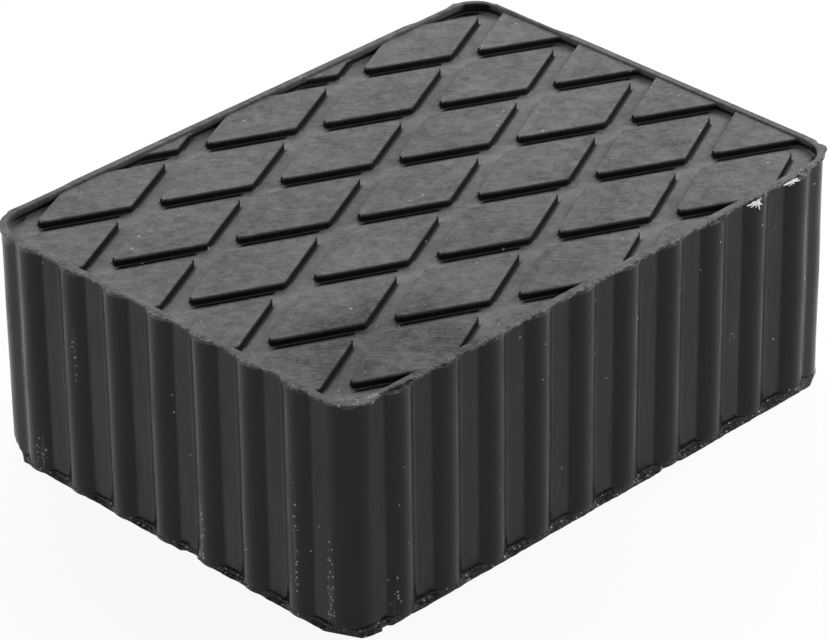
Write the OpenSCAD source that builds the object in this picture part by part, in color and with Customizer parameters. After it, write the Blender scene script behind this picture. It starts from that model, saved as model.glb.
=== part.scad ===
// Rubber pad for the arm of a car lift, which carries the car at its jacking point.
// It is one moulded block: ribs down all four sides, a thin edge round the foot, and on
// top a rim, over which the ribs stand out, round a tread of lozenges and grooves.
// Millimetres. The origin is the middle of the foot, +X along the length, +Z up.

/* [Block] */
// Length over the rim
pad_l = 160; // [120:1:220]
// Width over the rim
pad_w = 118; // [90:1:180]
// Height from the foot to the top of the rim
pad_h = 59.5; // [30:0.5:100]
// How far the plain wall between the ribs lies inside the rim
wall_in = 1; // [0.5:0.1:1.2]
// Radius of the four upright corners, measured on the plain wall
corner_r = 6.5; // [4:0.5:12]

/* [Side ribs] */
// Distance from one rib to the next
rib_pitch = 14.4; // [12:0.1:24]
// Width of a rib where it leaves the wall
rib_w = 9.1; // [5:0.1:11]
// How far a rib stands out from the wall
rib_h = 1.7; // [1.3:0.1:2.2]
// How far the row on each long side sits off the middle, towards +X
rib_shift_l = 1; // [0:0.1:3]
// How far the row on each short side sits off the middle, towards +Y
rib_shift_w = 1.3; // [0:0.1:3]

/* [Rim and tread] */
// Width of the rim
rim_w = 2; // [1.8:0.1:6]
// Radius of the rim's corners, wider than the upright corners below it
rim_r = 9.5; // [7:0.5:14]
// How far the rim stands above the lozenges
rim_rise = 0.4; // [0.2:0.1:1.5]
// Distance between lozenges of one row, along the length
tread_pitch_l = 52; // [36:0.1:80]
// Distance between lozenges of one column, across the width
tread_pitch_w = 25.3; // [18:0.1:40]
// How far the tread sits off the middle, towards +X
tread_shift_l = 1.1; // [0:0.1:3]
// How far the tread sits off the middle, towards +Y
tread_shift_w = 0.5; // [0:0.1:3]
// Width of the grooves, square to their walls
groove_w = 4.5; // [2:0.1:7]
// Depth of the grooves below the lozenges
groove_d = 1.8; // [1:0.1:4]
// Radius that rounds the points of a lozenge
point_r = 1.5; // [0.5:0.1:2.5]

/* [Moulding edges] */
// Thickness of the rim's edge, which partly closes the valleys at the top
rim_edge_t = 0.9; // [0.5:0.1:2]
// Thickness of the edge round the foot
foot_edge_t = 0.5; // [0.3:0.1:2]
// How far the foot's edge reaches past the ribs
foot_edge_out = 0.3; // [0.1:0.1:2]

/* [Hidden] */

// Overlap with which the ribs and the lozenges are rooted in the block
root = 0.8;
// Smallest radius for the corners of the recess
recess_r_min = 1;
// Flats that make up the round of a lozenge's far points and of its side points
far_flats = 6;
side_flats = 3;

// Plan of the plain wall between the ribs, and how far the foot's edge reaches past it
wall_l = pad_l - 2 * wall_in;
wall_w = pad_w - 2 * wall_in;
foot_grow = rib_h + foot_edge_out;

// A rib's front is an arc that is rib_w wide where it is rib_h deep
rib_r = (rib_w * rib_w / 4 + rib_h * rib_h) / (2 * rib_h);

// Plan of the recess inside the rim, and the heights in it
tread_l = pad_l - 2 * rim_w;
tread_w = pad_w - 2 * rim_w;
tread_r = max(rim_r - rim_w, recess_r_min);
lozenge_top = pad_h - rim_rise;
groove_floor = lozenge_top - groove_d;

// Half diagonals of a cell of the tread, and of the lozenge that its grooves leave
cell_a = tread_pitch_l / 2;
cell_b = tread_pitch_w / 2;
cell_half = cell_a * cell_b / norm([cell_a, cell_b]);
shrink = (cell_half - groove_w / 2) / cell_half;
loz_a = cell_a * shrink;
loz_b = cell_b * shrink;
loz_angle = atan(loz_b / loz_a);

// Where the ribs of one side stand, as many as fit between its two corners
function rib_count(side, shift) =
    floor((side - 2 * (wall_in + corner_r) - rib_w - 2 * shift) / rib_pitch) + 1;
function rib_places(side, shift) =
    let (count = rib_count(side, shift))
    [for (i = [0 : count - 1]) shift + (i - (count - 1) / 2) * rib_pitch];

// Whether a point of the plan lies in or past one of the recess's rounded corners
function off_corner(p) =
    abs(p.x) > tread_l / 2 - tread_r && abs(p.y) > tread_w / 2 - tread_r;

// Where the lozenges stand: every second cell of the grid, out past the rim, but none
// that has its middle off a corner of the recess and would leave only a sliver there
cells_x = ceil((tread_l / 2 + tread_shift_l + loz_a) / cell_a) - 1;
cells_y = ceil((tread_w / 2 + tread_shift_w + loz_b) / cell_b) - 1;
lozenge_places =
    [for (i = [-cells_x : cells_x], j = [-cells_y : cells_y])
        let (p = [tread_shift_l + i * cell_a, tread_shift_w + j * cell_b])
            if ((i + j) % 2 == 0 && !off_corner(p)) p];

module rounded_plan(l, w, r) {
    square([l - 2 * r, w], center = true);
    square([l, w - 2 * r], center = true);
    for (x = [-1, 1], y = [-1, 1])
        translate([x * (l / 2 - r), y * (w / 2 - r)]) circle(r, $fn = 64);
}

// One rib in plan, its front at the origin and facing +Y
module rib_plan() {
    intersection() {
        translate([0, -rib_r]) circle(rib_r, $fn = 96);
        translate([-rib_r, -rib_h - root]) square([2 * rib_r, rib_h + root]);
    }
}

module ribbed_plan() {
    rounded_plan(wall_l, wall_w, corner_r);
    for (m = [0, 1]) {
        mirror([0, m])
            for (x = rib_places(pad_l, rib_shift_l))
                translate([x, wall_w / 2 + rib_h]) rib_plan();
        mirror([m, 0])
            for (y = rib_places(pad_w, rib_shift_w))
                translate([wall_l / 2 + rib_h, y]) rotate(-90) rib_plan();
    }
}

// Points of an arc of radius point_r that faces the given angle
function arc(middle, facing, half, flats) =
    [for (k = [0 : flats])
        let (a = facing + half * (2 * k / flats - 1)) middle + point_r * [cos(a), sin(a)]];

// One lozenge in plan, its four points rounded by arcs that meet its straight sides
module lozenge_plan() {
    far = [loz_a - point_r / sin(loz_angle), 0];
    side = [0, loz_b - point_r / cos(loz_angle)];
    polygon(concat(
        arc(far, 0, 90 - loz_angle, far_flats),
        arc(side, 90, loz_angle, side_flats),
        arc(-far, 180, 90 - loz_angle, far_flats),
        arc(-side, 270, loz_angle, side_flats)
    ));
}

// The block up to the rim, with the recess for the tread
module block_body() {
    difference() {
        union() {
            linear_extrude(foot_edge_t)
                rounded_plan(wall_l + 2 * foot_grow, wall_w + 2 * foot_grow, corner_r + foot_grow);
            linear_extrude(pad_h) ribbed_plan();
            translate([0, 0, pad_h - rim_edge_t])
                linear_extrude(rim_edge_t) rounded_plan(pad_l, pad_w, rim_r);
        }
        translate([0, 0, groove_floor])
            linear_extrude(pad_h) rounded_plan(tread_l, tread_w, tread_r);
    }
}

// The lozenges, rooted in the floor of the recess and cut off inside the rim
module tread() {
    translate([0, 0, groove_floor - root])
        linear_extrude(groove_d + root)
            intersection() {
                for (p = lozenge_places) translate(p) lozenge_plan();
                rounded_plan(tread_l + root, tread_w + root, tread_r);
            }
}

module rubber_block() {
    color([0.16, 0.16, 0.17])
        union() {
            block_body();
            tread();
        }
}

rubber_block();
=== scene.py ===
# %% [markdown]
# # A rubber pad for a car lift
#
# The pad is one moulded block of black rubber: ribs run down its four sides, and on top a
# low rim surrounds a tread of lozenges and grooves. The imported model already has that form,
# with the sharp edges of a drawing. This lesson makes the block as it leaves its mould:
# points and edges rounded, a ragged skin of flash where the halves of the mould met, a
# slightly domed tread, scuffs, and the sheen of rubber.

# %% The frame
import math

import bmesh
import bpy
from mathutils import Matrix, Vector, noise


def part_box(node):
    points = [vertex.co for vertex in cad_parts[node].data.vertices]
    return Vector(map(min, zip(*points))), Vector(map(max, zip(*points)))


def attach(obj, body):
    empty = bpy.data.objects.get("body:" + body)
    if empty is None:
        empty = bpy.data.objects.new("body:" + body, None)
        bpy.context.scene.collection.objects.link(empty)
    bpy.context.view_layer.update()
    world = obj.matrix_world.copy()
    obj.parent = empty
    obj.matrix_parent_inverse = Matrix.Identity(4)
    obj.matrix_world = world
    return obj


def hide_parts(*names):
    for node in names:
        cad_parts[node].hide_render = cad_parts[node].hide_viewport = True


MM = 0.001
NODE = "rubber_block"

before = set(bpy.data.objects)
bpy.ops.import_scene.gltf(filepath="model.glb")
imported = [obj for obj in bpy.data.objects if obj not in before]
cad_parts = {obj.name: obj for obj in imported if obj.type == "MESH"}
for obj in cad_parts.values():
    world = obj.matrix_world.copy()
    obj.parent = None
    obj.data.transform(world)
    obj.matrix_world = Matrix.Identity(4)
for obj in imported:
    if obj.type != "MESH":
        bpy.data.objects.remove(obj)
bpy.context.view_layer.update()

# %% [markdown]
# ## The camera comes first
#
# Every later choice is judged through it. The block is seen from a little over a metre
# away, over its near corner, which looks almost like a parallel projection. So the lens is
# long. It is placed by angles round a point inside the block, because that is how a
# photographer would describe it.

# %% Camera
AIM = Vector((-7.8, -6.4, 30.0)) * MM
CAMERA_RANGE = 1077.3 * MM
CAMERA_AZIMUTH = math.radians(44.75)
CAMERA_ELEVATION = math.radians(30.54)
CAMERA_ROLL = math.radians(-0.73)
LENS = 203.4
SENSOR = 36
CLIP_FROM = 0.05
CLIP_TO = 20


def pointing(azimuth, elevation):
    """The way that two angles point, the first from the y axis and the second from the floor."""
    return Vector((math.sin(azimuth) * math.cos(elevation), math.cos(azimuth) * math.cos(elevation),
                   math.sin(elevation)))


def add_object(name, data):
    made = bpy.data.objects.new(name, data)
    bpy.context.scene.collection.objects.link(made)
    return made


def add_camera():
    data = bpy.data.cameras.new("camera")
    data.lens = LENS
    data.sensor_width = SENSOR
    data.clip_start = CLIP_FROM
    data.clip_end = CLIP_TO
    camera = add_object("camera", data)
    look = pointing(CAMERA_AZIMUTH, -CAMERA_ELEVATION)
    turn = look.to_track_quat("-Z", "Y").to_matrix().to_4x4()
    roll = Matrix.Rotation(CAMERA_ROLL, 4, "Z")
    camera.matrix_world = Matrix.Translation(AIM - look * CAMERA_RANGE) @ turn @ roll
    bpy.context.scene.camera = camera
    return camera


camera = add_camera()
print("camera at, mm:", [round(c / MM) for c in camera.matrix_world.translation])

# %% [markdown]
# ## The sizes of the block
#
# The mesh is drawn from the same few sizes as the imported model, in metres. The overall box
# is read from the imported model, so the two can't drift apart.

# %% Sizes
low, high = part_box(NODE)
FOOT_OUT = 1.0 * MM
WALL_IN = 1.0 * MM
PAD_L = high.x - low.x - 2 * FOOT_OUT
PAD_W = high.y - low.y - 2 * FOOT_OUT
PAD_H = high.z - low.z
CORNER_R = 6.5 * MM
RIM_R = 9.5 * MM
RIB_PITCH = 14.4 * MM
RIB_W = 9.1 * MM
RIB_H = 1.7 * MM
RIB_SHIFT_L = 1.0 * MM
RIB_SHIFT_W = 1.3 * MM
RIM_W = 2.0 * MM
RIM_RISE = 0.4 * MM
TREAD_PITCH_L = 52.0 * MM
TREAD_PITCH_W = 25.3 * MM
TREAD_SHIFT_L = 1.1 * MM
TREAD_SHIFT_W = 0.5 * MM
GROOVE_W = 4.5 * MM
GROOVE_D = 1.8 * MM
POINT_R = 1.5 * MM

WALL_L = PAD_L - 2 * WALL_IN
WALL_W = PAD_W - 2 * WALL_IN
RIB_R = (RIB_W ** 2 / 4 + RIB_H ** 2) / (2 * RIB_H)
RIB_HALF_TURN = math.asin(RIB_W / 2 / RIB_R)
LOZENGE_TOP = PAD_H - RIM_RISE
GROOVE_FLOOR = LOZENGE_TOP - GROOVE_D
print("over the rim, mm:", round(PAD_L / MM, 2), round(PAD_W / MM, 2), round(PAD_H / MM, 2))

# %% [markdown]
# ## The outline of the block in plan
#
# Seen from above, the block is a rounded rectangle with a shallow arc for every rib. It is
# drawn like a pen line: one vertex is carried along each plain stretch and spun round the
# middle of each arc. All arcs turn the same way when the pen walks against the clock, so
# corners and ribs use the same stroke.

# %% Pen strokes
STEP = 0.4 * MM
MERGE = 0.02 * MM


def pen_line(mesh, tip, target):
    """Carries the last vertex to a target in even steps."""
    steps = max(1, round((target - tip.co).length / STEP))
    move = (target - tip.co) / steps
    for _ in range(steps):
        tip = bmesh.ops.extrude_vert_indiv(mesh, verts=[tip])["verts"][0]
        tip.co += move
    return tip


def pen_arc(mesh, tip, centre, turn):
    """Spins the last vertex against the clock round a centre."""
    steps = max(4, round((tip.co - centre).length * turn / STEP))
    last = bmesh.ops.spin(mesh, geom=[tip], cent=centre, axis=(0, 0, 1), angle=turn,
                          steps=steps, use_duplicate=False)["geom_last"]
    return [item for item in last if isinstance(item, bmesh.types.BMVert)][0]


def rib_places(side, shift):
    """Where the middles of the ribs lie along one side, in the model's own direction."""
    count = math.floor((side - 2 * (WALL_IN + CORNER_R) - RIB_W - 2 * shift) / RIB_PITCH) + 1
    return [shift + (i - (count - 1) / 2) * RIB_PITCH for i in range(count)]


def side_data(number):
    """Length, distance from the middle and rib places of a side, walking round the block."""
    if number % 2 == 0:
        length, out, ribs = WALL_L, WALL_W / 2, rib_places(PAD_L, RIB_SHIFT_L)
    else:
        length, out, ribs = WALL_W, WALL_L / 2, rib_places(PAD_W, RIB_SHIFT_W)
    if number > 1:
        ribs = [-place for place in reversed(ribs)]
    return length, out, ribs


def draw_outline(mesh):
    """Draws the ribbed outline on the ground and returns its edges."""
    length, out, _ = side_data(0)
    start = mesh.verts.new((-length / 2 + CORNER_R, -out, 0))
    tip = start
    for number in range(4):
        length, out, ribs = side_data(number)
        turned = Matrix.Rotation(number * math.pi / 2, 3, "Z")
        for place in ribs:
            tip = pen_line(mesh, tip, turned @ Vector((place - RIB_W / 2, -out, 0)))
            middle = turned @ Vector((place, -out - RIB_H + RIB_R, 0))
            tip = pen_arc(mesh, tip, middle, 2 * RIB_HALF_TURN)
        tip = pen_line(mesh, tip, turned @ Vector((length / 2 - CORNER_R, -out, 0)))
        middle = turned @ Vector((length / 2 - CORNER_R, -out + CORNER_R, 0))
        tip = pen_arc(mesh, tip, middle, math.pi / 2)
    bmesh.ops.remove_doubles(mesh, verts=mesh.verts[:], dist=MERGE)
    return mesh.edges[:]


block = bmesh.new()
outline = draw_outline(block)
print("outline:", len(outline), "edges, open ends:",
      sum(1 for v in block.verts if len(v.link_edges) != 2))

# %% [markdown]
# ## Stations round the wall
#
# Every ring of the sides is the same outline, pushed in or out. To say how far, each point
# needs the spot on the plain wall behind it, the direction that faces outwards there, and
# how far a rib lifts it. On a side that direction is square to the side, and round a corner
# it is a radius. Each vertex of the outline keeps the number of its station in an integer
# layer, and an extrusion hands that number on to the ring that it makes.

# %% Stations
TINY = 0.001 * MM
REACH_STEPS = 6


class Station:
    """A place on the plain wall: its point, its outward direction and its rib's lift."""

    def __init__(self, co):
        half = Vector((WALL_L / 2 - CORNER_R, WALL_W / 2 - CORNER_R))
        past = Vector((max(abs(co.x) - half.x, 0), max(abs(co.y) - half.y, 0)))
        nearest = Vector((math.copysign(min(abs(co.x), half.x), co.x),
                          math.copysign(min(abs(co.y), half.y), co.y)))
        corner = past.x > TINY and past.y > TINY
        self.side = "corner"
        if not corner and past.y > past.x:
            self.side = "front" if co.y < 0 else "back"
        elif not corner:
            self.side = "left" if co.x < 0 else "right"
        self.along = co.x if self.side in ("front", "back") else co.y
        self.out = (Vector((co.x, co.y)) - nearest).normalized()
        self.point = nearest + self.out * CORNER_R
        self.lift = (Vector((co.x, co.y)) - self.point).length

    def at(self, out):
        return self.point + self.out * out


def plan_distance(point, length, width, radius, middle=Vector((0, 0))):
    """Distance from a rounded rectangle in plan, below zero inside it."""
    qx = abs(point.x - middle.x) - length / 2 + radius
    qy = abs(point.y - middle.y) - width / 2 + radius
    outside = math.hypot(max(qx, 0), max(qy, 0))
    return outside + min(max(qx, qy), 0) - radius


def reach(station, *plan):
    """How far out of the wall a rounded rectangle lies at a station."""
    out = 0
    for _ in range(REACH_STEPS):
        out -= plan_distance(station.at(out), *plan)
    return out


number_of = block.verts.layers.int.new("station")
stations = []
for vert in block.verts:
    vert[number_of] = len(stations)
    stations.append(Station(vert.co))
print("stations:", len(stations), "highest rib, mm:", round(max(s.lift for s in stations) / MM, 2))

# %% [markdown]
# ## Noise and bites
#
# Flash tears off unevenly, and rubber shrinks unevenly as it cools. Both are smooth noise
# in space, so neighbouring points agree and every run gives the same block. A torn edge is
# a sum of such noises. Each has its depth, the size of its features, both in millimetres,
# and a slice of the noise for itself. What is not chance is written down: a place where the
# edge broke away is a bite, with its place in plan, its half width and its depth.

# %% Noise and bites


def uneven(station, size, layer):
    """Smooth noise from about -1 to 1 along the outline, with features of the given size."""
    p = station.point / size
    return noise.noise(Vector((p.x, p.y, layer)), noise_basis="PERLIN_ORIGINAL")


def ragged(station, tears):
    """Sum of noises, each with its depth, its size and its slice."""
    return sum(depth * uneven(station, size * MM, layer) for depth, size, layer in tears) * MM


def bitten(station, bites):
    """How deep a broken place reaches at a station."""
    deepest = 0
    for x, y, half, depth in bites:
        away = (station.point / MM - Vector((x, y))).length
        within = min(1, max(0, 2 - 2 * away / half))
        deepest = max(deepest, depth * MM * within * within * (3 - 2 * within))
    return deepest


def span(reading):
    """The least and the greatest of a reading round the block, in millimetres."""
    return [round(f(reading(s) for s in stations) / MM, 2) for f in (min, max)]


# %% [markdown]
# ## The foot
#
# The mould closed at the foot, and a thin ledge of flash stands out there past the ribs. It
# falls a little short of its full reach, more so on the left than elsewhere, and its top is
# lumpy, where it was torn from the mould. A knife took it off straight across the corners. A
# trim has the way it looks, in degrees, its distance past the corner's wall, in millimetres,
# and how much it leans.

# %% Foot
FOOT_EDGE = 0.3 * MM
FOOT_PAST_RIBS = 0.3 * MM
FOOT_SHORT = {"left": 0.6 * MM, "front": 0.2 * MM}
FOOT_SHORT_ELSE = 0.3 * MM
RIGHT_END = 25 * MM
RIGHT_END_SHORT = 0.05 * MM
LEAST_LEDGE = 0.05 * MM
LEDGE_TOP = 1.0 * MM
LEDGE_TOP_LEFT = 0.75 * MM
FOOT_TEARS = [(0.25, 6, 1.7), (0.15, 1.6, 5.1)]
EDGE_LUMPS = [(0.12, 2.1, 7.7)]
LEDGE_LUMPS = [(0.25, 2.6, 7.7), (0.2, 1.0, 4.4)]
FOOT_BITES = [(-63.2, -58, 1.3, 2.0), (-70, -58, 1.6, 0.9), (-79, -7, 3, 0.9), (22, -58, 4, 0.5)]
FOOT_TRIMS = [(135, -2.8, 0.8), (-61.6, 0.05, 0), (-45, 0.15, 0), (-154.4, 0.15, 0), (45, 0.2, 0)]
TRIM_TOP = 3.7 * MM
TRIM_FACING = 0.3


def foot_out(station):
    """How far the foot's flash reaches: least on the left, most at the right end."""
    grow = RIB_H + FOOT_PAST_RIBS
    full = reach(station, WALL_L + 2 * grow, WALL_W + 2 * grow, CORNER_R + grow)
    short = FOOT_SHORT.get(station.side, FOOT_SHORT_ELSE)
    if station.side == "front" and station.along > RIGHT_END:
        short = RIGHT_END_SHORT
    out = full - short + min(ragged(station, FOOT_TEARS), short) - bitten(station, FOOT_BITES)
    return max(out, min(station.lift + LEAST_LEDGE, full))


def foot_edge(station):
    """Height of the flash at its outer edge."""
    return FOOT_EDGE + ragged(station, EDGE_LUMPS)


def foot_top(station):
    """Height at which the ledge meets the wall."""
    return (LEDGE_TOP_LEFT if station.side == "left" else LEDGE_TOP) + ragged(station, LEDGE_LUMPS)


def trimmed(station, out, z):
    """Reach that the knife left near the foot."""
    if z > TRIM_TOP:
        return out
    for angle, past, lean in FOOT_TRIMS:
        way = Vector((math.cos(math.radians(angle)), math.sin(math.radians(angle))))
        toward = station.out.dot(way)
        if toward > TRIM_FACING:
            middle = Vector((math.copysign(WALL_L / 2 - CORNER_R, way.x),
                             math.copysign(WALL_W / 2 - CORNER_R, way.y)))
            limit = middle.dot(way) + CORNER_R + past * MM + lean * z
            out = min(out, (limit - station.point.dot(way)) / toward)
    return out


print("the foot's flash reaches past the wall, mm:", span(foot_out))

# %% [markdown]
# ## The skin at the top
#
# Below the rim a thin skin of flash runs round the block. On the two near sides it is torn:
# on the left it follows the ribs, and on the front it runs almost straight past them. On the
# far sides it is nearly clean. One burr stands out at the right corner, and another hangs
# down at the near one. Behind the skin lies the rim with its recess, and the far sides of the
# rim are narrower than the near ones.

# %% Skin at the top
LIP_T = 0.7 * MM
SKIN_PAST = {"left": (0, 0.2 * MM), "front": (0.3 * MM, 0.05 * MM)}
SKIN_MOST = RIB_H + 0.3 * MM
SKIN_FAR = 0.4 * MM
SKIN_NEAR_CORNER = 0.2 * MM
SKIN_R = RIM_R - 0.7 * MM
TIGHT_R = 7.5 * MM
FEW_TEARS = 0.1
SOME_TEARS = 0.4
LIP_TEARS = [(0.3, 5, 9.3), (0.3, 1.6, 3.3), (0.25, 0.9, 6.8)]
LIP_LUMPS = [(0.3, 3, 2.2), (0.35, 1.2, 8.2)]
LIP_BITES = [(69, -58, 7, 1.1), (-66, -58, 6.5, 1.1), (37, -58, 3, 0.6), (-79, -36, 2.5, 0.8),
             (-79, 8, 4, 0.5), (64, 58, 9, 0.6), (79, 41, 16, 0.8), (-62, 58, 10, 0.3)]
BITE_DROP = 0.3
EAR = 0.9 * MM
EAR_TURN = math.radians(-26)
EAR_WAY = Vector((math.cos(EAR_TURN), math.sin(EAR_TURN)))
EAR_SPREAD = 0.035
HANG = 1.3 * MM
HANG_WAY = Vector((-1, -1)).normalized()
HANG_SPREAD = 0.015
FAR_RIM_W = 1.5 * MM
LEAST_RIM = 0.7 * MM
RECESS = (PAD_L - RIM_W - FAR_RIM_W, PAD_W - RIM_W - FAR_RIM_W, RIM_R - RIM_W,
          Vector((RIM_W - FAR_RIM_W, RIM_W - FAR_RIM_W)) / 2)


def recess_out(station, back=0):
    length, width, radius, middle = RECESS
    return reach(station, length + 2 * back, width + 2 * back, radius + back, middle)


def peak(station, way, spread):
    """One where the outline looks the given way, and less to either side."""
    return max(0, station.out.dot(way) - 1 + spread) / spread


def lip_out(station):
    """How far the skin reaches, before it leaves less than the thinnest rim."""
    near = station.point.x < 0 and station.point.y < 0
    rim = reach(station, PAD_L, PAD_W, TIGHT_R if near else SKIN_R)
    torn = ragged(station, LIP_TEARS)
    if station.side in SKIN_PAST:
        past_rim, past_ribs = SKIN_PAST[station.side]
        out = min(max(rim + past_rim, station.lift + past_ribs) + torn, SKIN_MOST)
    elif station.side == "corner":
        out = rim + (SKIN_NEAR_CORNER if near else 0) + EAR * peak(station, EAR_WAY, EAR_SPREAD)
        out += (FEW_TEARS if station.point.y > 0 else SOME_TEARS) * torn
    else:
        out = rim + SKIN_FAR + FEW_TEARS * torn
    return max(out - bitten(station, LIP_BITES), recess_out(station) + LEAST_RIM)


def lip_height(station):
    """Height of the skin's lower edge."""
    broken = BITE_DROP * bitten(station, LIP_BITES) if station.point.y < 0 else 0
    hanging = HANG * peak(station, HANG_WAY, HANG_SPREAD)
    return PAD_H - LIP_T + ragged(station, LIP_LUMPS) - broken - hanging


print("the skin at the top reaches past the wall, mm:", span(lip_out))

# %% [markdown]
# ## The rim and the walls
#
# Use has worn the rim down along the two near sides, and the wear fades out round the
# corners. The walls of a moulded block are never quite even, ribs or not, which shows in the
# light on them.

# %% Rim and walls
RIM_WORN = 0.22 * MM
WORN_FADE = 8 * MM
WAVE = 0.1 * MM
WAVE_WIDE = 7 * MM
WAVE_TALL = 20 * MM


def rim_top(station):
    """Height of the rim."""
    if station.side == "corner":
        return PAD_H - RIM_WORN * ((station.point.x < 0) + (station.point.y < 0)) / 2
    half = (WALL_L if station.side in ("front", "back") else WALL_W) / 2 - CORNER_R
    if station.side in ("left", "front"):
        worn = min(1, (0.5 if station.along > 0 else 1) + (half - abs(station.along)) / WORN_FADE)
    else:
        worn = max(0, 0.5 - (half + station.along) / WORN_FADE)
    return PAD_H - RIM_WORN * worn


def wave(station, z):
    """Unevenness of the moulded wall."""
    p = station.point / WAVE_WIDE
    return WAVE * noise.noise(Vector((p.x, p.y, z / WAVE_TALL)), noise_basis="PERLIN_ORIGINAL")


print("height of the rim, mm:", span(rim_top))

# %% [markdown]
# ## Rings up the side
#
# The side is one band. Its outline is extruded ring by ring from the foot to the rim, and
# each ring is then pushed to its height and its reach: out over the flash of the foot, in to
# the ribbed wall, up it with a hint of unevenness, out again under the skin at the top,
# over its edge on to the flat of the rim, and down inside the recess.
#
# The last rings round the rim's inner edge and have to end level with the tread. The tread
# cools to a shallow dome, so its height at any place is written down here, before the tread
# itself is made.

# %% Heights and reaches of the rings
WALL_LOW = (2.7 * MM, 3.65 * MM)
WALL_RINGS = 12
WALL_END = PAD_H - 2.7 * MM
LEDGE_STEPS = 3
RIB_EASE = 0.4 * MM


def soft_lift(station):
    """The rib's lift, eased where it leaves the wall, as in a mould that a cutter has made."""
    eased = station.lift ** 2 / (station.lift + RIB_EASE)
    return eased * (RIB_H + RIB_EASE) / RIB_H


def wall_ring(z):
    return lambda s: z, lambda s: soft_lift(s) + wave(s, z)


def ledge_ring(row):
    """One ring of the ledge, a share of the way from its outer edge to the wall."""
    share = row / LEDGE_STEPS
    crags = [(0.2, 1.2, 20 + 7 * row), (0.15, 0.8, 60 + 7 * row)]

    def height(s):
        return foot_edge(s) + share * (foot_top(s) - foot_edge(s)) + ragged(s, crags)

    def out(s):
        return foot_out(s) - 0.08 * MM - share * (foot_out(s) - 0.18 * MM - s.lift)

    return height, out


DOME_MIDDLE = 0.2 * MM
DOME_FALL_X = 0.13 * MM
DOME_FALL_Y = 0.19 * MM
DOME_OFF = 0.3


def dome(co):
    """How far the finished tread lies above its drawn height at a place."""
    along = co.x / (RECESS[0] / 2) + DOME_OFF
    across = co.y / (RECESS[1] / 2) + DOME_OFF
    return DOME_MIDDLE - DOME_FALL_X * along ** 2 - DOME_FALL_Y * across ** 2


def rim_ring(turn):
    """One ring of the round on the rim's inner edge, which ends level with the tread."""
    a = math.radians(turn)

    def height(s):
        drop = rim_top(s) - LOZENGE_TOP - dome(s.at(recess_out(s)))
        return LOZENGE_TOP if turn == 90 else rim_top(s) - max(drop, 0) * (1 - math.cos(a))

    return height, lambda s: recess_out(s, RIM_RISE * (1 - math.sin(a)))


print("height of the tread by its near and far corner, mm:",
      [round((LOZENGE_TOP + dome(Vector(RECESS[:2]) * side / 2)) / MM, 2) for side in (-1, 1)])

# %% [markdown]
# ## The profile of the side
#
# Every ring is a pair, its height and its reach. The small steps between neighbours are what
# rounds the edges of the ledge and of the skin, so these edges need no bevel.

# %% Side rings
foot_rings = [
    (lambda s: 0.12 * MM, foot_out),
    (foot_edge, lambda s: foot_out(s) - 0.04 * MM),
    *[ledge_ring(row) for row in range(1, LEDGE_STEPS + 1)],
    (lambda s: foot_top(s) + 0.25 * MM, lambda s: s.lift - 0.12 * MM),
    (lambda s: foot_top(s) + 0.7 * MM, lambda s: s.lift),
]
wall_rings = [wall_ring(z) for z in WALL_LOW]
wall_rings += [wall_ring(TRIM_TOP + (WALL_END - TRIM_TOP) * row / WALL_RINGS)
               for row in range(1, WALL_RINGS + 1)]
lip_rings = [
    (lambda s: lip_height(s) - 0.35 * MM, lambda s: s.lift + 0.02 * MM),
    (lambda s: lip_height(s) - 0.08 * MM,
     lambda s: max(min(s.lift, lip_out(s)) + 0.05 * MM, lip_out(s) - 0.5 * MM)),
    (lip_height, lambda s: lip_out(s) - 0.12 * MM),
    (lambda s: (lip_height(s) + PAD_H) / 2, lip_out),
    (lambda s: rim_top(s) - 0.12 * MM, lambda s: lip_out(s) - 0.05 * MM),
    (rim_top, lambda s: lip_out(s) - 0.18 * MM),
    *[rim_ring(turn) for turn in (0, 30, 60, 90)],
]


def push_ring(verts, height, out):
    """Places one ring: each vertex goes to its height and reach."""
    for vert in verts:
        station = stations[vert[number_of]]
        z = height(station)
        spot = station.at(trimmed(station, out(station), z))
        vert.co = Vector((spot.x, spot.y, z))


def next_ring(mesh, ring):
    """Extrudes a ring of edges and returns the vertices and edges of the new one."""
    made = bmesh.ops.extrude_edge_only(mesh, edges=ring)["geom"]
    verts = [item for item in made if isinstance(item, bmesh.types.BMVert)]
    edges = [item for item in made if isinstance(item, bmesh.types.BMEdge) and item.is_boundary]
    return verts, edges


def raise_side(mesh, outline):
    """Builds the band of the sides and returns its last ring of edges."""
    push_ring(mesh.verts[:], lambda s: 0.0, lambda s: foot_out(s) - 0.12 * MM)
    ring = outline
    for height, out in foot_rings + wall_rings + lip_rings:
        verts, ring = next_ring(mesh, ring)
        push_ring(verts, height, out)
    bmesh.ops.edgeloop_fill(mesh, edges=outline)
    return ring


recess_ring = raise_side(block, outline)
print("sides:", len(block.faces), "faces; recess ring:", len(recess_ring), "edges")

# %% [markdown]
# ## The tread
#
# The recess is closed with one flat face at the height of the lozenges. Straight cuts along
# both edges of every groove divide it, and then the faces that belong to grooves are pushed
# down together. That leaves lozenges with upright walls, and the ones that meet the rim are
# cut off by it without any extra work. A set of separate blocks would need each of them
# trimmed.

# %% Tread
TREAD = 1
CELL_A = TREAD_PITCH_L / 2
CELL_B = TREAD_PITCH_W / 2
CELL_HALF = CELL_A * CELL_B / math.hypot(CELL_A, CELL_B)
SHRINK = 1 - GROOVE_W / 2 / CELL_HALF
ROWS = range(-8, 9, 2)
CUT_WITHIN = 1e-7
STRAIGHT = math.radians(179.9)


def lattice(point):
    """Place in the lattice, in cells along its two slanted directions."""
    x = (point.x - TREAD_SHIFT_L) / CELL_A
    y = (point.y - TREAD_SHIFT_W) / CELL_B
    return x + y, x - y


def once(items):
    """Each item once, in the order in which it first comes, so every run cuts alike."""
    return list(dict.fromkeys(items))


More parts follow.
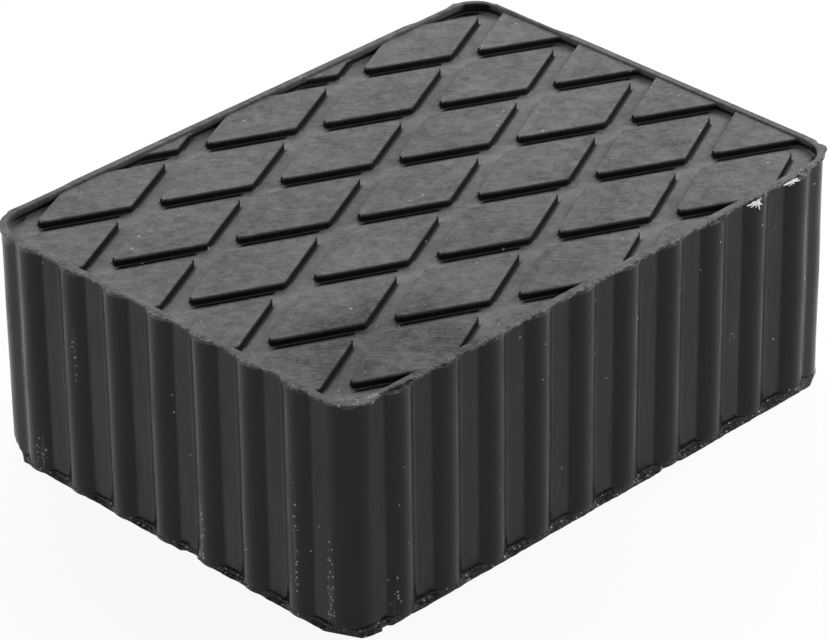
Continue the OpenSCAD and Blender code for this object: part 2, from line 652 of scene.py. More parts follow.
def tread_faces(mesh):
    return [face for face in mesh.faces if face.material_index == TREAD]


def cut_grooves(mesh):
    """Cuts the tread's face along both edges of every groove."""
    for sign in (1, -1):
        normal = Vector((1 / CELL_A, sign / CELL_B, 0)).normalized()
        for cell in ROWS:
            for edge in (-SHRINK, SHRINK):
                faces = tread_faces(mesh)
                geom = faces + once(e for f in faces for e in f.edges)
                geom += once(v for f in faces for v in f.verts)
                spot = Vector((TREAD_SHIFT_L + (cell + edge) * CELL_A, TREAD_SHIFT_W, 0))
                bmesh.ops.bisect_plane(mesh, geom=geom, dist=CUT_WITHIN, plane_co=spot, plane_no=normal)


def in_lozenge(face):
    """Whether a face of the tread belongs to a lozenge that the mould has."""
    u, v = lattice(face.calc_center_median())
    near_u, near_v = 2 * round(u / 2), 2 * round(v / 2)
    if abs(u - near_u) > SHRINK or abs(v - near_v) > SHRINK:
        return False
    x = TREAD_SHIFT_L + (near_u + near_v) / 2 * CELL_A
    y = TREAD_SHIFT_W + (near_u - near_v) / 2 * CELL_B
    length, width, radius, _ = RECESS
    return abs(x) < length / 2 - radius or abs(y) < width / 2 - radius


def sink_grooves(mesh):
    """Pushes the faces of the grooves down to their floor."""
    grooves = [face for face in tread_faces(mesh) if not in_lozenge(face)]
    made = bmesh.ops.extrude_face_region(mesh, geom=grooves)["geom"]
    sunk = [item for item in made if isinstance(item, bmesh.types.BMVert)]
    bmesh.ops.translate(mesh, verts=sunk, vec=(0, 0, -GROOVE_D))
    left = [face for face in grooves if face.is_valid]
    print("groove faces:", len(grooves), "left behind by the extrusion:", len(left))
    bmesh.ops.delete(mesh, geom=left, context="FACES")


def straight_verts(ring):
    """Vertices in the middle of a straight stretch of a ring."""
    found = []
    members = set(ring)
    for vert in once(v for edge in ring for v in edge.verts):
        arms = [edge.other_vert(vert).co - vert.co for edge in vert.link_edges if edge in members]
        if len(arms) == 2 and arms[0].angle(arms[1]) > STRAIGHT:
            found.append(vert)
    return found


bmesh.ops.dissolve_verts(block, verts=straight_verts(recess_ring))
recess_ring = [edge for edge in block.edges if edge.is_boundary]
print("recess ring without its straight vertices:", len(recess_ring), "edges")
lid = bmesh.ops.edgeloop_fill(block, edges=recess_ring)["faces"]
for face in lid:
    face.material_index = TREAD
cut_grooves(block)
sink_grooves(block)
bmesh.ops.recalc_face_normals(block, faces=block.faces[:])
print("open edges:", sum(1 for e in block.edges if len(e.link_faces) != 2),
      "volume, cm3:", round(block.calc_volume(signed=True) * 1e6, 1))

# %% [markdown]
# ## Rounded points and edges
#
# A cutter has made the mould, so no corner in it is sharp. The upright edge at each point
# of a lozenge is rounded first, wide at the slender points and less at the blunt ones. Then
# the top edges get a small round, and the foot of each wall a fillet, which is the thin line
# of light that follows a groove. Doing the upright edges first lets the others run round
# the points in one piece.

# %% Rounds
TOP_ROUND = 0.6 * MM
FLOOR_FILLET = 0.4 * MM
BLUNT = math.radians(90)
LEAST_POINT = math.radians(30)
FROM_RIM = 0.3 * MM
LEVEL = 0.9
UPRIGHT = 0.1


def is_flat(face):
    return face.normal.z > LEVEL


def is_wall(face):
    return abs(face.normal.z) < UPRIGHT


def inside_recess(co, margin):
    return plan_distance(co, *RECESS) < -margin


def point_edges(mesh):
    """Upright edges of the lozenges' points, the slender ones and the blunt ones."""
    slender, blunt = [], []
    for edge in mesh.edges:
        a, b = edge.verts
        tall = abs(a.co.z - b.co.z) > GROOVE_D / 2
        if not tall or len(edge.link_faces) != 2 or not inside_recess(a.co, FROM_RIM):
            continue
        turn = edge.calc_face_angle_signed()
        if turn > LEAST_POINT:
            (slender if turn > BLUNT else blunt).append(edge)
    return slender, blunt


def rounded(mesh, edges, offset, segments):
    bmesh.ops.bevel(mesh, geom=edges, offset=offset, offset_type="OFFSET", segments=segments,
                    profile=0.5, affect="EDGES", clamp_overlap=False, material=-1)


def rim_edges(mesh, height, convex):
    """Edges between a flat face at a height and a wall of the tread."""
    found = []
    for edge in mesh.edges:
        if len(edge.link_faces) != 2 or not inside_recess(edge.verts[0].co, -0.05 * MM):
            continue
        level = all(abs(v.co.z - height) < TINY for v in edge.verts)
        kinds = [is_flat(f) - is_wall(f) for f in edge.link_faces]
        if level and sorted(kinds) == [-1, 1] and (edge.calc_face_angle_signed() > 0) == convex:
            found.append(edge)
    return found


block.normal_update()
slender, _ = point_edges(block)
HALF_POINT = math.atan(CELL_B / CELL_A)
rounded(block, slender, POINT_R / math.tan(HALF_POINT), segments=6)
_, blunt = point_edges(block)
rounded(block, blunt, POINT_R * math.tan(HALF_POINT), segments=3)
block.normal_update()
tops = rim_edges(block, LOZENGE_TOP, True)
rounded(block, tops, TOP_ROUND, segments=4)
block.normal_update()
floors = rim_edges(block, GROOVE_FLOOR, False)
rounded(block, floors, FLOOR_FILLET, segments=3)
print("slender points:", len(slender), "blunt points:", len(blunt), "top edges:", len(tops),
      "floor edges:", len(floors))

# %% [markdown]
# ## A slightly domed tread
#
# The rubber cools and shrinks unevenly, so the tread ends a little higher in the middle than
# along the rim. The whole recess follows one shallow dome, lozenges and groove floors
# together, because they shrank together. Its top lies off the middle, towards the near
# corner, where the lozenges end almost level with the rim.

# %% Dome
for vert in block.verts:
    if PAD_H / 2 < vert.co.z < LOZENGE_TOP + TINY and inside_recess(vert.co, -10 * TINY):
        vert.co.z += dome(vert.co)
print("highest point of the tread, mm:", round((LOZENGE_TOP + DOME_MIDDLE) / MM, 2))

# %% [markdown]
# ## The block as one piece
#
# The mesh becomes an object at the origin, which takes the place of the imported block. It is
# shaded smooth but for its true edges, and its large flat faces on top stay flat.

# %% The block as one piece
SHARP = math.radians(35)
LARGE_FACE = (2 * MM) ** 2


def object_from(mesh, name):
    """Turns a bmesh into an object."""
    data = bpy.data.meshes.new(name)
    mesh.to_mesh(data)
    mesh.free()
    return add_object(name, data)


def shade(piece):
    """Smooths a piece, and keeps its true edges and its large level faces."""
    piece.data.shade_smooth()
    piece.data.set_sharp_from_angle(angle=SHARP)
    for face in piece.data.polygons:
        if face.area > LARGE_FACE and face.normal.z > LEVEL:
            face.use_smooth = False
    flat = piece.modifiers.new("keep flat faces flat", "WEIGHTED_NORMAL")
    flat.weight = 100
    flat.keep_sharp = True


for face in block.faces:
    face.material_index = 0
bmesh.ops.recalc_face_normals(block, faces=block.faces[:])
print("open edges:", sum(1 for e in block.edges if len(e.link_faces) != 2),
      "volume, cm3:", round(block.calc_volume(signed=True) * 1e6, 1))
pad = object_from(block, "moulded_block")
shade(pad)
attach(pad, "root")
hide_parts(NODE)
print("faces of the block:", len(pad.data.polygons))

# %% [markdown]
# ## Black rubber and what lies on it
#
# The rubber itself is nearly black, with a dull sheen. What makes the tread read grey is a
# film on every face that looks up: partly fine dust and release powder, partly a painted sheen
# that stands in for the light the tread reflects. It is thin on the rounded edges, and left out
# along the foot of each wall, which is painted shade. The film is a mask, so one material
# covers the block without a seam.
#
# Small tools come first: some that add a node, and two that start and place a group.

# %% Node tools


def fill(tree, made, inputs):
    """Links or fills a node's inputs."""
    for name, value in inputs.items():
        if isinstance(value, bpy.types.NodeSocket):
            tree.links.new(value, made.inputs[name])
        else:
            made.inputs[name].default_value = value


def node(tree, kind, inputs=None, **settings):
    """Adds a node, sets it up, and links or fills its inputs."""
    made = tree.nodes.new("ShaderNode" + kind)
    for name, value in settings.items():
        setattr(made, name, value)
    fill(tree, made, inputs or {})
    return made


def math_node(tree, operation, *values, clamp=False):
    made = node(tree, "Math", dict(enumerate(values)), operation=operation, use_clamp=clamp)
    return made.outputs[0]


def joined(operation):
    """Makes a helper that joins any number of values, two at a time."""
    def join(tree, *values):
        total = values[0]
        for value in values[1:]:
            total = math_node(tree, operation, total, value)
        return total
    return join


plus, minus, times = joined("ADD"), joined("SUBTRACT"), joined("MULTIPLY")
most, least = joined("MAXIMUM"), joined("MINIMUM")


def rest(tree, value):
    """One less the value."""
    return minus(tree, 1.0, value)


def ramp(tree, value, low, high, out_low=0.0, out_high=1.0):
    """A smooth step of a value between two bounds."""
    made = node(tree, "MapRange", {"Value": value, "From Min": low, "From Max": high,
                                   "To Min": out_low, "To Max": out_high},
                interpolation_type="SMOOTHSTEP")
    return made.outputs["Result"]


def new_group(name, inputs, outputs=("Value",)):
    """Starts a group that takes coordinates and more inputs: vectors, or numbers with a default."""
    tree = bpy.data.node_groups.new(name, "ShaderNodeTree")
    for label, default in {"Coordinates": None, **inputs}.items():
        kind = "NodeSocketVector" if default is None else "NodeSocketFloat"
        socket = tree.interface.new_socket(name=label, in_out="INPUT", socket_type=kind)
        if default is not None:
            socket.default_value = default
    for label in outputs:
        tree.interface.new_socket(name=label, in_out="OUTPUT", socket_type="NodeSocketFloat")
    given = tree.nodes.new("NodeGroupInput").outputs
    result = tree.nodes.new("NodeGroupOutput").inputs
    return tree, given, result


def use_group(tree, group, here, inputs=None):
    """Places a group at some coordinates and returns its outputs."""
    made = tree.nodes.new("ShaderNodeGroup")
    made.node_tree = group
    fill(tree, made, {"Coordinates": here, **(inputs or {})})
    return made.outputs


# %% [markdown]
# ## Where a point lies in the tread
#
# The painted shade along the walls has to know how far the nearest wall of a groove is. The
# lattice that cut the grooves answers that from the coordinates alone: along each slanted
# direction, a folded ramp counts from the middle of a lozenge to the middle of a groove.

# %% Group for the place in the tread
# Painted shade: how far past a lozenge's edge the groove floor stays dark, in millimetres along each
# slanted way, and near the points.
LIT_ALONG = (0.9, 1.4)
LIT_ACROSS = (0.3, 0.7)
TIPS_DARK = 0.2
TIPS_LIT = 0.11


def tread_place_group():
    """Where a groove's floor is clear of painted shade, and millimetres from the rim and the floor."""
    tree, given, result = new_group("Tread place", {}, ["Open floor", "From rim", "From far rim",
                                                        "Above floor"])
    xyz = node(tree, "SeparateXYZ", {"Vector": given["Coordinates"]}).outputs
    along = times(tree, minus(tree, xyz["X"], TREAD_SHIFT_L), 1 / CELL_A)
    across = times(tree, minus(tree, xyz["Y"], TREAD_SHIFT_W), 1 / CELL_B)
    u = math_node(tree, "PINGPONG", plus(tree, along, across), 1.0)
    v = math_node(tree, "PINGPONG", minus(tree, along, across), 1.0)
    past_u, past_v = [times(tree, minus(tree, way, SHRINK), CELL_HALF / MM) for way in (u, v)]
    tips = ramp(tree, least(tree, u, v), SHRINK - TIPS_DARK, SHRINK - TIPS_LIT)
    lit = most(tree, ramp(tree, past_u, *LIT_ALONG), ramp(tree, past_v, *LIT_ACROSS), tips)
    tree.links.new(lit, result["Open floor"])

    to_rim, to_far_rim = [], []
    raised = xyz["Z"]
    for k, fall in enumerate((DOME_FALL_X, DOME_FALL_Y)):
        from_middle = minus(tree, xyz["XY"[k]], RECESS[3][k])
        to_rim.append(minus(tree, RECESS[k] / 2, math_node(tree, "ABSOLUTE", from_middle)))
        to_far_rim.append(minus(tree, RECESS[k] / 2, from_middle))
        off = plus(tree, math_node(tree, "DIVIDE", xyz["XY"[k]], RECESS[k] / 2), DOME_OFF)
        raised = plus(tree, raised, times(tree, off, off, fall))
    tree.links.new(times(tree, least(tree, *to_rim), 1 / MM), result["From rim"])
    tree.links.new(times(tree, least(tree, *to_far_rim), 1 / MM), result["From far rim"])
    above = minus(tree, raised, GROOVE_FLOOR + DOME_MIDDLE)
    tree.links.new(times(tree, above, 1 / MM), result["Above floor"])
    return tree


TREAD_PLACE = tread_place_group()
print("groups:", [group.name for group in bpy.data.node_groups])

# %% [markdown]
# ## Grain, streaks and smudges
#
# Three kinds of noise make up the finish, so each is a group: the grain of the rubber, short
# streaks where the block was wiped or dragged, and broad cloudy smudges. They differ in
# their size, in how much fine detail they have, and in how far they are drawn out.

# %% Groups for grain, streaks and smudges
STREAK_INPUTS = {"Turn": None, "Size mm": 0.5, "Stretch": 0.15}


def finish_noise(tree, given, result, vector, **settings):
    """Ends a group with a noise of the given size."""
    scale = math_node(tree, "DIVIDE", 1 / MM, given["Size mm"])
    made = node(tree, "TexNoise", {"Vector": vector, "Scale": scale, **settings})
    tree.links.new(made.outputs["Fac"], result["Value"])
    return tree


def grain_group():
    tree, given, result = new_group("Rubber grain", {"Size mm": 0.6})
    return finish_noise(tree, given, result, given["Coordinates"], Detail=4.0, Roughness=0.6)


def streak_group():
    tree, given, result = new_group("Streaks", STREAK_INPUTS)
    turned = node(tree, "VectorRotate", {"Vector": given["Coordinates"], "Rotation": given["Turn"]},
                  rotation_type="EULER_XYZ").outputs["Vector"]
    squeeze = node(tree, "CombineXYZ", {"X": given["Stretch"], "Y": 1.0, "Z": 1.0}).outputs["Vector"]
    drawn = node(tree, "VectorMath", {0: turned, 1: squeeze}, operation="MULTIPLY").outputs["Vector"]
    return finish_noise(tree, given, result, drawn, Detail=3.0, Roughness=0.55)


def smudge_group():
    tree, given, result = new_group("Smudges", {"Size mm": 18.0})
    return finish_noise(tree, given, result, given["Coordinates"], Detail=5.0, Roughness=0.65,
                        Distortion=0.6)


GRAIN, STREAKS, SMUDGES = grain_group(), streak_group(), smudge_group()
print("groups:", [group.name for group in bpy.data.node_groups])

# %% [markdown]
# ## Flecks and worn places
#
# Pale flecks of torn rubber lie on the block, more of them where it was scraped. A fleck is
# a dot at the middle of a cell, and only a share of the cells has one. A worn place is a
# soft blob round a point, with a reach in each direction.

# %% Groups for flecks and worn places


def fleck_group():
    tree, given, result = new_group("Flecks", {"Cell mm": 1.0, "Share": 0.1, "Size": 0.4})
    scale = math_node(tree, "DIVIDE", 1 / MM, given["Cell mm"])
    cells = node(tree, "TexVoronoi", {"Vector": given["Coordinates"], "Scale": scale}).outputs
    chance = node(tree, "SeparateColor", {"Color": cells["Color"]}).outputs
    chosen = math_node(tree, "LESS_THAN", chance["Red"], given["Share"])
    size = times(tree, given["Size"], ramp(tree, chance["Green"], 0.0, 1.0, 0.5, 1.2))
    dot = ramp(tree, math_node(tree, "DIVIDE", cells["Distance"], size), 0.6, 1.0, 1.0, 0.0)
    tree.links.new(times(tree, chosen, dot), result["Value"])
    return tree


def worn_place_group():
    tree, given, result = new_group("Worn place", {"Middle mm": None, "Reach mm": None})
    here = node(tree, "VectorMath", {0: given["Coordinates"], "Scale": 1 / MM}, operation="SCALE")
    away = node(tree, "VectorMath", {0: here.outputs["Vector"], 1: given["Middle mm"]},
                operation="SUBTRACT")
    share = node(tree, "VectorMath", {0: away.outputs["Vector"], 1: given["Reach mm"]},
                 operation="DIVIDE")
    length = node(tree, "VectorMath", {0: share.outputs["Vector"]}, operation="LENGTH")
    tree.links.new(ramp(tree, length.outputs["Value"], 0.4, 1.0, 1.0, 0.0), result["Value"])
    return tree


FLECKS, WORN_PLACE = fleck_group(), worn_place_group()
print("groups:", [group.name for group in bpy.data.node_groups])

# %% [markdown]
# ## What the rubber reads
#
# The material is built step by step from the same readings: where a point lies, which way
# it faces, and the noises there. They are made once and handed on. Streaks are drawn out
# either across the top, the way it was wiped, or up the walls, the way the block left its
# mould.

# %% Readings
UPRIGHT_TURN = (0, math.radians(90), 0)
WIPED_TURN = (0, 0, math.radians(44))


class Readings:
    """Places, directions and noises that the rubber is made from."""

    def __init__(self, tree):
        self.here = node(tree, "TexCoord").outputs["Object"]
        self.height = times(tree, node(tree, "SeparateXYZ", {"Vector": self.here}).outputs["Z"], 1 / MM)
        normal = node(tree, "NewGeometry").outputs["Normal"]
        facing = node(tree, "SeparateXYZ", {"Vector": normal}).outputs
        self.right, self.back, self.up = facing["X"], facing["Y"], facing["Z"]
        spot = use_group(tree, TREAD_PLACE, self.here)
        self.open_floor, self.above_floor = spot["Open floor"], spot["Above floor"]
        self.from_rim, self.from_far_rim = spot["From rim"], spot["From far rim"]
        self.grain, self.cloud, self.dust = [
            use_group(tree, GRAIN, self.here, {"Size mm": size})["Value"] for size in (0.7, 3.0, 0.35)]
        self.smudge = use_group(tree, SMUDGES, self.here, {"Size mm": 22.0})["Value"]
        self.wiped, self.drawn, self.blotch = [
            use_group(tree, STREAKS, self.here,
                      {"Turn": turn, "Size mm": size, "Stretch": stretch})["Value"]
            for turn, size, stretch in ((WIPED_TURN, 0.45, 0.12), (UPRIGHT_TURN, 0.8, 0.05),
                                        (UPRIGHT_TURN, 3.5, 0.22))]


def worn(tree, at, middle, reach_mm):
    """How close a point is to the middle of a worn place."""
    return use_group(tree, WORN_PLACE, at.here, {"Middle mm": middle, "Reach mm": reach_mm})["Value"]


# %% [markdown]
# ## Where the film lies
#
# The film of dust and painted sheen lies on whatever looks up: on the lozenges, on the floors
# of the grooves away from their walls, and on the rim. It also lies on the rim's inner edge and
# on the rounded edges that look to the back. Along the foot of each wall and of the far rim it
# is left out, which is painted shade. In one corner it is laid on the walls as well, which is
# dust and painted light where the lamps leave those walls dark.

# %% Film
# A corner of dust and painted light: the film lightens the walls there, which the lamps leave dark, and
# the painted shade is left out.
CORNER_DUST_AND_LIGHT_AT, CORNER_DUST_AND_LIGHT_REACH = (-77, 55, 58.5), (9, 7, 4)
CORNER_DUST_AND_LIGHT_HELD = 0.75


def dust_sheen_and_shade_masks(tree, at):
    """Masks for the top, for what faces up, for the grooves, and for the film of dust and painted sheen.
    """
    on_top = ramp(tree, at.above_floor, -1.5, -0.5)
    by_rim = times(tree, ramp(tree, at.from_rim, 0.2, 0.5, 1.0, 0.0),
                   ramp(tree, at.above_floor, 0.7, 1.4), ramp(tree, at.up, -0.8, 0.6))
    corner = worn(tree, at, CORNER_DUST_AND_LIGHT_AT, CORNER_DUST_AND_LIGHT_REACH)
    far_edge = times(tree, ramp(tree, at.back, 0.0, 0.15), ramp(tree, at.up, 0.05, 0.75))
    # What faces up gets the film: dust, and a painted sheen that lightens the top.
    leans = most(tree, ramp(tree, at.up, 0.55, 0.99), by_rim, times(tree, corner, CORNER_DUST_AND_LIGHT_HELD), far_edge)
    faces_up = times(tree, leans, on_top)
    in_groove = ramp(tree, at.above_floor, 0.6, 1.0, 1.0, 0.0)
    clear_of_far_rim_shade = ramp(tree, at.from_far_rim, -0.1, 0.5)
    clear_of_painted_shade = most(tree, least(tree, at.open_floor, clear_of_far_rim_shade), corner)
    # Painted shade: no film along the foot of each wall and of the far rim, where the walls would shade
    # the floor.
    painted_shade = times(tree, in_groove, rest(tree, clear_of_painted_shade))
    return on_top, faces_up, in_groove, times(tree, faces_up, rest(tree, painted_shade))


# %% [markdown]
# ## How thick the film is
#
# The film is wiped into streaks and mottled by the grain and by faint clouds. It is thicker in
# the grooves, which is painted light on their floors, and thinner in one cloudy patch by the
# near corner, which is painted shade. The walls have only a trace of it, in scuffs.

# %% Mottle
# Painted shade: a cloudy patch by the near corner where the film is thinner, so the tread there is
# darker.
NEAR_SHADE_AT, NEAR_SHADE_REACH = (-50, -44, 59.1), (30, 24, 6)
DUST_AND_SHEEN_USUAL = 0.85
# Painted light: more film on the groove floors, lighter than the lamps alone make them.
GROOVE_PAINTED_LIGHT = 0.4
SCUFFS = 0.03


def dust_and_sheen_cover(tree, at, dust_and_sheen, faces_up, in_groove):
    """How much of the rubber the film of dust and painted sheen covers."""
    # painted shade by the near corner
    near_painted_shade = times(tree, worn(tree, at, NEAR_SHADE_AT, NEAR_SHADE_REACH),
                 ramp(tree, at.smudge, 0.35, 0.6, 0.48, 0.22))
    mottle = plus(tree, ramp(tree, at.wiped, 0.3, 0.7, -0.16, 0.16),
                  ramp(tree, at.grain, 0.3, 0.7, -0.22, 0.22),
                  ramp(tree, at.cloud, 0.35, 0.65, -0.16, 0.16),
                  ramp(tree, at.smudge, 0.3, 0.7, -0.15, 0.15),
                  times(tree, in_groove, GROOVE_PAINTED_LIGHT))
    even = times(tree, dust_and_sheen, plus(tree, DUST_AND_SHEEN_USUAL, minus(tree, mottle, near_painted_shade)))
    scuffs = times(tree, rest(tree, faces_up), ramp(tree, at.smudge, 0.5, 0.8),
                   ramp(tree, at.grain, 0.45, 0.75), SCUFFS)
    return plus(tree, even, scuffs)


# %% [markdown]
# ## The skin and the ledge
#
# The torn skin at the top holds less film, but its broken grains are pale. The ledge of the
# foot is as dusty as the floor that it stood on.

# %% Skin and ledge
SKIN_BARE = 0.6
SKIN_GRAINS = 0.9
COVER_MOST = 1.6


def edge_cover(tree, at, cover):
    """The film with the skin and the ledge, and a mask of the ledge."""
    on_skin = times(tree, ramp(tree, at.above_floor, 0.9, 1.5),
                    ramp(tree, at.from_rim, -1.6, -1.2, 1.0, 0.0))
    on_ledge = times(tree, ramp(tree, at.height, 1.2, 2.0, 1.0, 0.0), ramp(tree, at.up, 0.0, 0.4))
    grains = times(tree, on_skin, ramp(tree, at.grain, 0.4, 0.62), SKIN_GRAINS)
    dusty = times(tree, on_ledge, ramp(tree, at.dust, 0.45, 0.66, 0.03, 0.9))
    cover = plus(tree, times(tree, cover, rest(tree, times(tree, on_skin, SKIN_BARE))), grains)
    return least(tree, most(tree, cover, dusty), COVER_MOST), on_ledge


# %% [markdown]
# ## Scrapes
#
# The places that are scraped more than the rest are known one by one, so each is written
# down with its middle and its reach. Flecks crowd there, and on the walls there are pale
# scratches too.

# %% Scrapes
SCRAPES = [((44.3, -58.5, 24.4), (1.3, 3, 2.2)), ((68.8, -59, 31), (0.9, 3, 6)),
           ((-79.5, 28.8, 37), (3, 1.4, 10)), ((-79.5, -51.7, 3.5), (3, 1.6, 3.5)),
           ((-80, 42.5, 5), (3, 1.8, 7)), ((-50.1, -58.5, 57.9), (1.2, 3, 1)),
           ((-79.5, -51.5, 12), (3, 1.2, 16)), ((-79.5, -42.5, 20), (3, 0.9, 22)),
           ((-79.5, -12, 9), (3, 1.2, 12)), ((-66.5, -59, 6), (1.6, 3, 8)),
           ((70, -59.5, 59), (9, 2.5, 1.6)), ((-74, -56, 59), (8, 5, 1.2))]
FLECK_CELL = 0.8
FLECK_SIZE = 0.42
FLECKS_ANYWHERE = 0.002
FLECKS_UP = 0.003
FLECKS_LEDGE = 0.3
FLECKS_SCRAPED = 0.7
SCRATCH_PALE = 0.4


def pale_marks(tree, at, faces_up, on_ledge):
    """A mask for flecks and scratches."""
    scrape = most(tree, 0.0, *[worn(tree, at, middle, reach_mm) for middle, reach_mm in SCRAPES])
    share = plus(tree, times(tree, faces_up, FLECKS_UP), times(tree, on_ledge, FLECKS_LEDGE))
    share = plus(tree, most(tree, share, times(tree, scrape, FLECKS_SCRAPED)), FLECKS_ANYWHERE)
    fleck = use_group(tree, FLECKS, at.here, {"Cell mm": FLECK_CELL, "Share": share,
                                              "Size": FLECK_SIZE})["Value"]
    scratch = times(tree, scrape, ramp(tree, at.drawn, 0.5, 0.68), ramp(tree, at.grain, 0.35, 0.6),
                    rest(tree, faces_up), SCRATCH_PALE)
    return most(tree, fleck, scratch)


# %% [markdown]
# ## The sheen
#
# Clean rubber shines softly, unevenly along the way it left the mould. The film dulls it,
# and so does the dust that clings to the walls of the grooves that look to the right.

# %% Sheen
FILM_DULLS = 0.2
WALLS_DULL = 0.8


def sheen(tree, at, on_top, faces_up, dust_and_sheen):
    """The roughness of the surface."""
    walls = times(tree, minus(tree, on_top, faces_up), ramp(tree, at.from_rim, -0.2, 0.1),
                  ramp(tree, at.above_floor, 0.35, 0.6), ramp(tree, at.right, -0.1, 0.3), WALLS_DULL)
    gloss = plus(tree, ramp(tree, at.drawn, 0.3, 0.7, 0.17, 0.27),
                 ramp(tree, at.grain, 0.3, 0.7, -0.03, 0.05),
                 ramp(tree, at.blotch, 0.35, 0.65, -0.06, 0.12), times(tree, dust_and_sheen, FILM_DULLS))
    return math_node(tree, "ADD", gloss, walls, clamp=True)


# %% [markdown]
# ## The rubber
#
# Now the parts come together in one material. Its colour goes from bare rubber to the film of
# dust and painted sheen by the cover, which may pass one where grains lie thick, and from there
# to torn rubber by the pale marks. The grain and the streaks also raise the surface by a few
# hundredths of a millimetre, which breaks up the reflections.

# %% Rubber
RUBBER = (0.007, 0.007, 0.0072, 1)
# Colour of the film: dust, and painted sheen on what faces up.
DUST_AND_SHEEN = (0.109, 0.109, 0.11, 1)
TORN = (0.34, 0.34, 0.34, 1)
RUBBER_IOR = 1.3
RELIEF_STRENGTH = 0.8
RELIEF_DEPTH = 0.06 * MM


def new_material(name):
    """Starts a material, and returns it with its nodes and its shader."""
    material = bpy.data.materials.new(name)
    material.use_nodes = True
    return material, material.node_tree, material.node_tree.nodes["Principled BSDF"]


def blend(tree, share, first, second, **settings):
    """Mixes two colours."""
    return node(tree, "Mix", {"Factor": share, 6: first, 7: second}, data_type="RGBA",
                **settings).outputs[2]


def rubber():
    material, tree, shader = new_material("black rubber")
    at = Readings(tree)
    on_top, faces_up, in_groove, dust_and_sheen = dust_sheen_and_shade_masks(tree, at)
    cover, on_ledge = edge_cover(tree, at, dust_and_sheen_cover(tree, at, dust_and_sheen, faces_up, in_groove))
    # Dust and painted sheen lighten what faces up, with painted shade along the walls.
    colour = blend(tree, cover, RUBBER, DUST_AND_SHEEN, clamp_factor=False)
    marks = pale_marks(tree, at, faces_up, on_ledge)
    relief = plus(tree, times(tree, at.grain, 0.5), times(tree, at.drawn, 0.5))
    bump = node(tree, "Bump", {"Height": relief, "Strength": RELIEF_STRENGTH, "Distance": RELIEF_DEPTH})
    fill(tree, shader, {"IOR": RUBBER_IOR, "Normal": bump.outputs["Normal"],
                        "Base Color": blend(tree, marks, colour, TORN),
                        "Roughness": sheen(tree, at, on_top, faces_up, dust_and_sheen)})
    return material


pad.data.materials.append(rubber())
print("nodes in the rubber:", len(pad.data.materials[0].node_tree.nodes))

# %% [markdown]
# ## Two torn shreds
#
# Near the right end of the front edge the skin came away in two places and left pale shreds
# there. Each is a handful of slivers that start in one spot, thick at the root and thin at
# the end, which is how rubber tears. A shred has its place along the edge, its height and
# its thickness, and a sliver its angle and its length, in degrees and millimetres.

# %% Shreds
SHRED_Y = -59.72 * MM
SLIVER_END = 0.12 * MM
SLIVER_FLAT = 0.25 * MM
SLIVER_ROOT = 0.2 * MM
SHRED_TONE = (0.75, 0.75, 0.75, 1)
SHRED_ROUGHNESS = 0.8
SLIVERS = [(50.0, 58.3, 0.45, ((-82, 3.9), (-70, 2.4), (-100, 2.6), (12, 1.0), (60, 1.5), (128, 2.2),
                               (160, 2.6), (-150, 1.6), (-25, 0.9))),
           (61.5, 59.0, 0.3, ((-88, 2.8), (-97, 1.8), (90, 2.6), (104, 3.2), (128, 1.7), (165, 1.2),
                              (-150, 1.3)))]


def add_sliver(mesh, root, angle, length, thick):
    """Adds one flat tapered sliver that starts at its root."""
    made = bmesh.ops.create_cone(mesh, cap_ends=True, segments=6, radius1=thick,
                                 radius2=SLIVER_END, depth=length)["verts"]
    bmesh.ops.translate(mesh, verts=made, vec=(0, 0, length / 2 - SLIVER_ROOT))
    bmesh.ops.scale(mesh, verts=made, vec=(1, SLIVER_FLAT / thick, 1))
    bmesh.ops.rotate(mesh, verts=made, cent=(0, 0, 0), matrix=Matrix.Rotation(angle, 3, "Y"))
    bmesh.ops.translate(mesh, verts=made, vec=root)


def pale_rubber():
    material, tree, shader = new_material("torn rubber")
    fill(tree, shader, {"Base Color": SHRED_TONE, "Roughness": SHRED_ROUGHNESS})
    return material


def add_shreds():
    mesh = bmesh.new()
    for x, z, thick, slivers in SLIVERS:
        root = Vector((x * MM, SHRED_Y, z * MM))
        for angle, length in slivers:
            add_sliver(mesh, root, math.radians(angle), length * MM, thick * MM)
    return object_from(mesh, "torn_shreds")


shreds = add_shreds()
shreds.data.materials.append(pale_rubber())
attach(shreds, "root")
print("faces of the shreds:", len(shreds.data.polygons))

# %% [markdown]
# ## Floor and background
#
# The block stands on a pale plain floor. The background is white to the camera and in
# reflections, and gives less light than it shows. The floor does the same with a part of its
# colour, and the rest of it keeps the block's shadow.

# %% Floor and background
FLOOR_HALF = 6
FLOOR_TONE = 0.88
FLOOR_WHITE = 0.9
WORLD_LIGHT = 0.2


def shown_rays(tree):
    """One for rays that show the background: from the camera, in a reflection, through glass."""
    kinds = node(tree, "LightPath").outputs
    return most(tree, kinds["Is Camera Ray"], kinds["Is Glossy Ray"], kinds["Is Transmission Ray"])


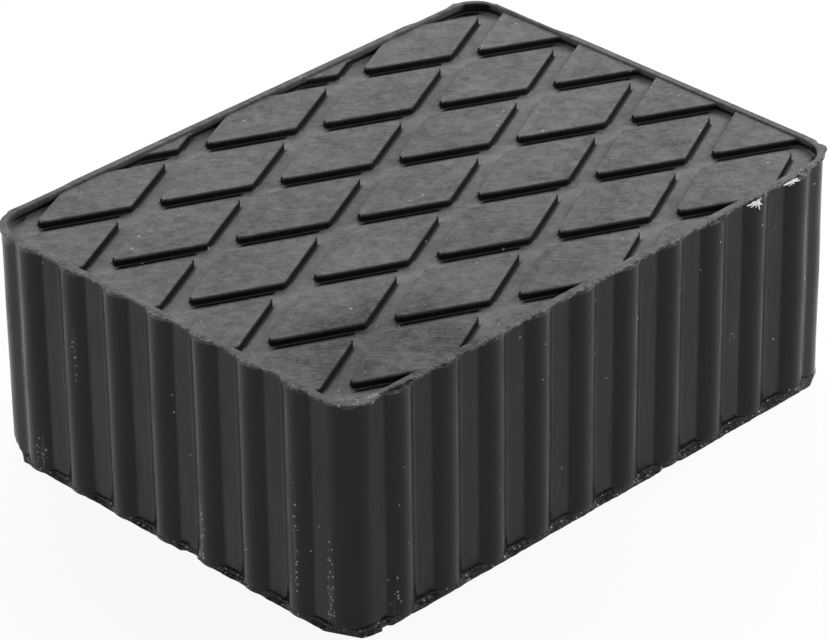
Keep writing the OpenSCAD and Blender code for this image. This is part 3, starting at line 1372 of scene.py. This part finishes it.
def floor_material():
    material, tree, shader = new_material("pale floor")
    fill(tree, shader, {"Base Color": (FLOOR_TONE, FLOOR_TONE, FLOOR_TONE, 1), "Roughness": 1,
                        "Specular IOR Level": 0})
    white = node(tree, "Emission", {"Strength": 1.0}).outputs[0]
    part = times(tree, shown_rays(tree), FLOOR_WHITE)
    both = node(tree, "MixShader", {0: part, 1: shader.outputs[0], 2: white}).outputs[0]
    tree.links.new(both, tree.nodes["Material Output"].inputs["Surface"])
    return material


def add_floor():
    mesh = bmesh.new()
    bmesh.ops.create_grid(mesh, x_segments=1, y_segments=1, size=FLOOR_HALF)
    floor = object_from(mesh, "floor")
    floor.data.materials.append(floor_material())
    return floor


def add_world():
    world = bpy.data.worlds.new("studio")
    bpy.context.scene.world = world
    world.use_nodes = True
    tree = world.node_tree
    strength = node(tree, "MapRange", {"Value": shown_rays(tree), "To Min": WORLD_LIGHT, "To Max": 1.0})
    fill(tree, tree.nodes["Background"], {"Color": (1, 1, 1, 1), "Strength": strength.outputs["Result"]})


floor = add_floor()
add_world()
print("floor, m:", [round(side, 2) for side in floor.dimensions])

# %% [markdown]
# ## Light
#
# A wide soft light behind the block gives the tread its sheen, and two more at the sides
# pick out the ribs, while the side towards the camera stays quiet. The lamps are left out
# of reflections, so that the sheen is the background's.

# %% Lamps


def add_softbox(name, azimuth, elevation, distance, size, radiance):
    """A square lamp that faces the block, placed by angles."""
    data = bpy.data.lights.new(name, "AREA")
    data.shape = "SQUARE"
    data.size = size
    data.energy = radiance * math.pi * size * size
    lamp = add_object(name, data)
    away = pointing(math.radians(azimuth), math.radians(elevation))
    lamp.location = away * distance
    lamp.rotation_euler = away.to_track_quat("Z", "Y").to_euler()
    lamp.visible_glossy = False
    return lamp


lamps = [add_softbox("right light", azimuth=108, elevation=27, distance=0.62, size=0.36, radiance=11),
         add_softbox("left light", azimuth=-18, elevation=27, distance=0.62, size=0.36, radiance=6.2),
         add_softbox("back light", azimuth=45, elevation=42, distance=3.2, size=1.6, radiance=6.6)]
print("power of the lamps, W:", [round(lamp.data.energy, 2) for lamp in lamps])

bpy.context.scene.view_settings.view_transform = "Standard"
